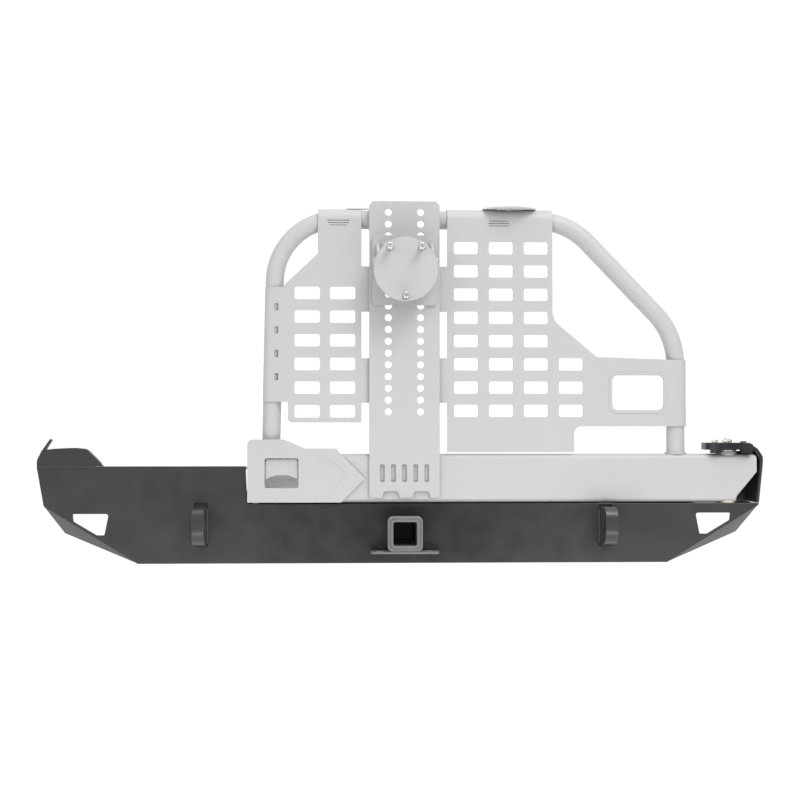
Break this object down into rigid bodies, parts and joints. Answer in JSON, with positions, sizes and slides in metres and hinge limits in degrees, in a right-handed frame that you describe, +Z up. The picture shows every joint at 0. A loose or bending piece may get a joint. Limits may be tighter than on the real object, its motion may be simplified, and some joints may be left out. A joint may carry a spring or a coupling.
{
  "type": "spare tire carrier",
  "caption": "Swing-away spare tire carrier on its rear bumper: hinged arm with a perforated upright, tube frame, slotted storage panels, paddle latch and sliding wheel mount.",
  "frame": {"origin": "on the forward face of the crossmember plate, on the vehicle's centreline, level with the bumper's lower edge", "axes": "+Y out of the crossmember plate's forward face, towards the vehicle; +X across the vehicle, towards the hinge; +Z up"},
  "size_m": [1.5702, 0.38, 0.792],
  "materials": {
    "black_coat": "fine-textured black powder coat",
    "pale_coat": "smooth pale grey powder coat",
    "zinc": "bright zinc plate",
    "bronze": "plain bronze",
    "rubber": "matt moulded rubber"
  },
  "bodies": {
    "bumper": {"bumper_face": "black_coat", "bumper_shelf": "black_coat", "raised_deck": "black_coat", "corner_cap": "black_coat", "wing_left": "black_coat", "wing_right": "black_coat", "crossmember_plate": "black_coat", "frame_bracket_left": "black_coat", "frame_bracket_right": "black_coat", "receiver_tube": "black_coat", "receiver_collar": "black_coat", "chain_plate": "black_coat", "shackle_tab_left": "black_coat", "shackle_tab_right": "black_coat", "hinge_base": "black_coat", "hinge_strap": "black_coat", "hinge_top_plate": "black_coat", "spindle": "zinc", "spindle_nut": "zinc", "thrust_washer": "bronze", "hinge_bolt_1": "zinc", "hinge_bolt_2": "black_coat", "hinge_bolt_3": "black_coat", "latch_keeper": "zinc", "rest_pad": "rubber"},
    "carrier": {"swing_arm": "pale_coat", "pivot_barrel": "pale_coat", "upper_bush": "bronze", "lower_bush": "bronze", "grease_fitting": "zinc", "latch_bracket": "pale_coat", "latch_housing": "pale_coat", "handle_pin": "zinc", "latch_spring": "zinc", "tube_left": "pale_coat", "tube_right": "pale_coat", "panel_right": "pale_coat", "panel_left": "pale_coat", "antenna_plate": "pale_coat", "light_tab": "pale_coat", "upright_plate": "pale_coat", "upright_stiffener_left": "pale_coat", "upright_stiffener_right": "pale_coat", "wheel_base": "pale_coat", "backing_plate": "pale_coat", "base_bolt_1": "zinc", "base_bolt_2": "zinc", "base_bolt_3": "zinc", "base_bolt_4": "zinc", "clamp_bolt_left": "zinc", "clamp_bolt_right": "zinc", "clamp_nut_left": "zinc", "clamp_nut_right": "zinc"},
    "latch_handle": {"latch_paddle": "pale_coat"},
    "latch_bolt": {"latch_bolt": "zinc"},
    "wheel_mount": {"wheel_carriage": "pale_coat", "wheel_disc": "pale_coat", "wheel_stud_1": "zinc", "wheel_stud_2": "zinc", "wheel_stud_3": "zinc"}
  },
  "joints": [
    {"name": "carrier_swing", "type": "hinge", "parent": "bumper", "child": "carrier", "pos_m": [0.709, -0.1446, 0.184], "axis": [0, 0, 1], "range_deg": [0, 105]},
    {"name": "handle_pull", "type": "hinge", "parent": "carrier", "child": "latch_handle", "pos_m": [-0.2645, -0.1575, 0.2185], "axis": [-1, 0, 0], "range_deg": [0, 40], "stiffness_Nm_per_rad": 0.3, "springref_deg": -20.05},
    {"name": "bolt_lift", "type": "slide", "parent": "carrier", "child": "latch_bolt", "axis": [0, 0, 1], "range_m": [0, 0.0188]},
    {"name": "wheel_depth", "type": "slide", "parent": "carrier", "child": "wheel_mount", "axis": [0, -1, 0], "range_m": [0, 0.02]}
  ],
  "couplings": [
    {"joint": "handle_pull", "follows": "bolt_lift", "rad_per_m": 37}
  ]
}
